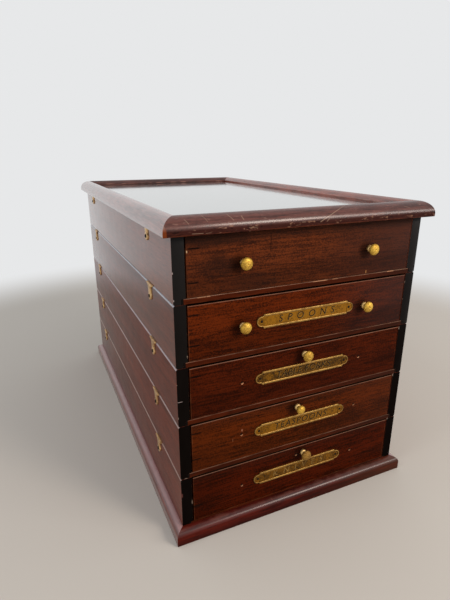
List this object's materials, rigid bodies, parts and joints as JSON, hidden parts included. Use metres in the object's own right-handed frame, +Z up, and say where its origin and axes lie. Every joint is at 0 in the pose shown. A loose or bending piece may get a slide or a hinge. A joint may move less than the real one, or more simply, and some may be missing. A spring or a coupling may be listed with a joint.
{
  "type": "flatware storage box",
  "caption": "Stacking wooden flatware box: shallow tiers, each with one dovetailed drawer, on a moulded plinth under a lift-off moulded lid with a mirror plate.",
  "frame": {"origin": "middle of the whole box in plan, at the underside of the plinth", "axes": "+X to the right along the drawer fronts, +Y from front to back, +Z up"},
  "size_m": [0.277, 0.4858, 0.3146],
  "materials": {
    "plinth_wood": "dark polished mahogany",
    "lid_wood": "dark polished mahogany",
    "case_wood": "dark polished mahogany with blackened front edges",
    "front_wood": "dark polished mahogany",
    "drawer_wood": "plain unpolished wood",
    "backing_board": "plain thin board",
    "mirror_glass": "aged mirror glass",
    "knob_brass": "polished brass, tarnished in the hollows",
    "plate_brass": "aged brass with a brighter rim",
    "catch_brass": "worn brass"
  },
  "bodies": {
    "tier1": {"tier1_carcase": "case_wood", "tier1_base_board": "case_wood"},
    "drawer1": {"drawer1_front": "front_wood", "drawer1_box": "drawer_wood", "drawer1_bottom": "drawer_wood", "drawer1_knobs": "knob_brass"},
    "catch1_left_front": {"tier1_catch_left_front": "catch_brass"},
    "catch1_left_rear": {"tier1_catch_left_rear": "catch_brass"},
    "catch1_right_front": {"tier1_catch_right_front": "catch_brass"},
    "catch1_right_rear": {"tier1_catch_right_rear": "catch_brass"},
    "tier2": {"tier2_carcase": "case_wood", "tier2_base_board": "case_wood"},
    "drawer2": {"drawer2_front": "front_wood", "drawer2_box": "drawer_wood", "drawer2_bottom": "drawer_wood", "drawer2_knobs": "knob_brass", "drawer2_label_plate": "plate_brass"},
    "catch2_left_front": {"tier2_catch_left_front": "catch_brass"},
    "catch2_left_rear": {"tier2_catch_left_rear": "catch_brass"},
    "catch2_right_front": {"tier2_catch_right_front": "catch_brass"},
    "catch2_right_rear": {"tier2_catch_right_rear": "catch_brass"},
    "tier3": {"tier3_carcase": "case_wood", "tier3_base_board": "case_wood"},
    "drawer3": {"drawer3_front": "front_wood", "drawer3_box": "drawer_wood", "drawer3_bottom": "drawer_wood", "drawer3_knobs": "knob_brass", "drawer3_label_plate": "plate_brass"},
    "catch3_left_front": {"tier3_catch_left_front": "catch_brass"},
    "catch3_left_rear": {"tier3_catch_left_rear": "catch_brass"},
    "catch3_right_front": {"tier3_catch_right_front": "catch_brass"},
    "catch3_right_rear": {"tier3_catch_right_rear": "catch_brass"},
    "tier4": {"tier4_carcase": "case_wood", "tier4_base_board": "case_wood"},
    "drawer4": {"drawer4_front": "front_wood", "drawer4_box": "drawer_wood", "drawer4_bottom": "drawer_wood", "drawer4_knobs": "knob_brass", "drawer4_label_plate": "plate_brass"},
    "catch4_left_front": {"tier4_catch_left_front": "catch_brass"},
    "catch4_left_rear": {"tier4_catch_left_rear": "catch_brass"},
    "catch4_right_front": {"tier4_catch_right_front": "catch_brass"},
    "catch4_right_rear": {"tier4_catch_right_rear": "catch_brass"},
    "tier5": {"tier5_carcase": "case_wood", "tier5_base_board": "case_wood", "plinth_moulding": "plinth_wood"},
    "drawer5": {"drawer5_front": "front_wood", "drawer5_box": "drawer_wood", "drawer5_bottom": "drawer_wood", "drawer5_knobs": "knob_brass", "drawer5_label_plate": "plate_brass"},
    "catch5_left_front": {"tier5_catch_left_front": "catch_brass"},
    "catch5_left_rear": {"tier5_catch_left_rear": "catch_brass"},
    "catch5_right_front": {"tier5_catch_right_front": "catch_brass"},
    "catch5_right_rear": {"tier5_catch_right_rear": "catch_brass"},
    "lid": {"lid_moulding": "lid_wood", "lid_backing": "backing_board", "lid_mirror": "mirror_glass"}
  },
  "joints": [
    {"name": "tier4_lift", "type": "slide", "parent": "tier5", "child": "tier4", "axis": [0, 0, 1], "range_m": [0, 0.06]},
    {"name": "tier3_lift", "type": "slide", "parent": "tier4", "child": "tier3", "axis": [0, 0, 1], "range_m": [0, 0.06]},
    {"name": "tier2_lift", "type": "slide", "parent": "tier3", "child": "tier2", "axis": [0, 0, 1], "range_m": [0, 0.06]},
    {"name": "tier1_lift", "type": "slide", "parent": "tier2", "child": "tier1", "axis": [0, 0, 1], "range_m": [0, 0.06]},
    {"name": "lid_lift", "type": "slide", "parent": "tier1", "child": "lid", "axis": [0, 0, 1], "range_m": [0, 0.06]},
    {"name": "drawer1_slide", "type": "slide", "parent": "tier1", "child": "drawer1", "axis": [0, -1, 0], "range_m": [0, 0.34]},
    {"name": "drawer2_slide", "type": "slide", "parent": "tier2", "child": "drawer2", "axis": [0, -1, 0], "range_m": [0, 0.34]},
    {"name": "drawer3_slide", "type": "slide", "parent": "tier3", "child": "drawer3", "axis": [0, -1, 0], "range_m": [0, 0.34]},
    {"name": "drawer4_slide", "type": "slide", "parent": "tier4", "child": "drawer4", "axis": [0, -1, 0], "range_m": [0, 0.34]},
    {"name": "drawer5_slide", "type": "slide", "parent": "tier5", "child": "drawer5", "axis": [0, -1, 0], "range_m": [0, 0.34]},
    {"name": "catch1_left_front_turn", "type": "hinge", "parent": "tier1", "child": "catch1_left_front", "pos_m": [-0.131, -0.16215, 0.2882], "axis": [1, 0, 0], "range_deg": [-90, 90]},
    {"name": "catch1_left_rear_turn", "type": "hinge", "parent": "tier1", "child": "catch1_left_rear", "pos_m": [-0.131, 0.16385, 0.2882], "axis": [1, 0, 0], "range_deg": [-90, 90]},
    {"name": "catch1_right_front_turn", "type": "hinge", "parent": "tier1", "child": "catch1_right_front", "pos_m": [0.131, -0.16215, 0.2882], "axis": [1, 0, 0], "range_deg": [-90, 90]},
    {"name": "catch1_right_rear_turn", "type": "hinge", "parent": "tier1", "child": "catch1_right_rear", "pos_m": [0.131, 0.16385, 0.2882], "axis": [1, 0, 0], "range_deg": [-90, 90]},
    {"name": "catch2_left_front_turn", "type": "hinge", "parent": "tier2", "child": "catch2_left_front", "pos_m": [-0.131, -0.16215, 0.2307], "axis": [1, 0, 0], "range_deg": [-90, 90]},
    {"name": "catch2_left_rear_turn", "type": "hinge", "parent": "tier2", "child": "catch2_left_rear", "pos_m": [-0.131, 0.16385, 0.2307], "axis": [1, 0, 0], "range_deg": [-90, 90]},
    {"name": "catch2_right_front_turn", "type": "hinge", "parent": "tier2", "child": "catch2_right_front", "pos_m": [0.131, -0.16215, 0.2307], "axis": [1, 0, 0], "range_deg": [-90, 90]},
    {"name": "catch2_right_rear_turn", "type": "hinge", "parent": "tier2", "child": "catch2_right_rear", "pos_m": [0.131, 0.16385, 0.2307], "axis": [1, 0, 0], "range_deg": [-90, 90]},
    {"name": "catch3_left_front_turn", "type": "hinge", "parent": "tier3", "child": "catch3_left_front", "pos_m": [-0.131, -0.16215, 0.1732], "axis": [1, 0, 0], "range_deg": [-90, 90]},
    {"name": "catch3_left_rear_turn", "type": "hinge", "parent": "tier3", "child": "catch3_left_rear", "pos_m": [-0.131, 0.16385, 0.1732], "axis": [1, 0, 0], "range_deg": [-90, 90]},
    {"name": "catch3_right_front_turn", "type": "hinge", "parent": "tier3", "child": "catch3_right_front", "pos_m": [0.131, -0.16215, 0.1732], "axis": [1, 0, 0], "range_deg": [-90, 90]},
    {"name": "catch3_right_rear_turn", "type": "hinge", "parent": "tier3", "child": "catch3_right_rear", "pos_m": [0.131, 0.16385, 0.1732], "axis": [1, 0, 0], "range_deg": [-90, 90]},
    {"name": "catch4_left_front_turn", "type": "hinge", "parent": "tier4", "child": "catch4_left_front", "pos_m": [-0.131, -0.16215, 0.1157], "axis": [1, 0, 0], "range_deg": [-90, 90]},
    {"name": "catch4_left_rear_turn", "type": "hinge", "parent": "tier4", "child": "catch4_left_rear", "pos_m": [-0.131, 0.16385, 0.1157], "axis": [1, 0, 0], "range_deg": [-90, 90]},
    {"name": "catch4_right_front_turn", "type": "hinge", "parent": "tier4", "child": "catch4_right_front", "pos_m": [0.131, -0.16215, 0.1157], "axis": [1, 0, 0], "range_deg": [-90, 90]},
    {"name": "catch4_right_rear_turn", "type": "hinge", "parent": "tier4", "child": "catch4_right_rear", "pos_m": [0.131, 0.16385, 0.1157], "axis": [1, 0, 0], "range_deg": [-90, 90]},
    {"name": "catch5_left_front_turn", "type": "hinge", "parent": "tier5", "child": "catch5_left_front", "pos_m": [-0.131, -0.16215, 0.0582], "axis": [1, 0, 0], "range_deg": [-90, 90]},
    {"name": "catch5_left_rear_turn", "type": "hinge", "parent": "tier5", "child": "catch5_left_rear", "pos_m": [-0.131, 0.16385, 0.0582], "axis": [1, 0, 0], "range_deg": [-90, 90]},
    {"name": "catch5_right_front_turn", "type": "hinge", "parent": "tier5", "child": "catch5_right_front", "pos_m": [0.131, -0.16215, 0.0582], "axis": [1, 0, 0], "range_deg": [-90, 90]},
    {"name": "catch5_right_rear_turn", "type": "hinge", "parent": "tier5", "child": "catch5_right_rear", "pos_m": [0.131, 0.16385, 0.0582], "axis": [1, 0, 0], "range_deg": [-90, 90]}
  ]
}
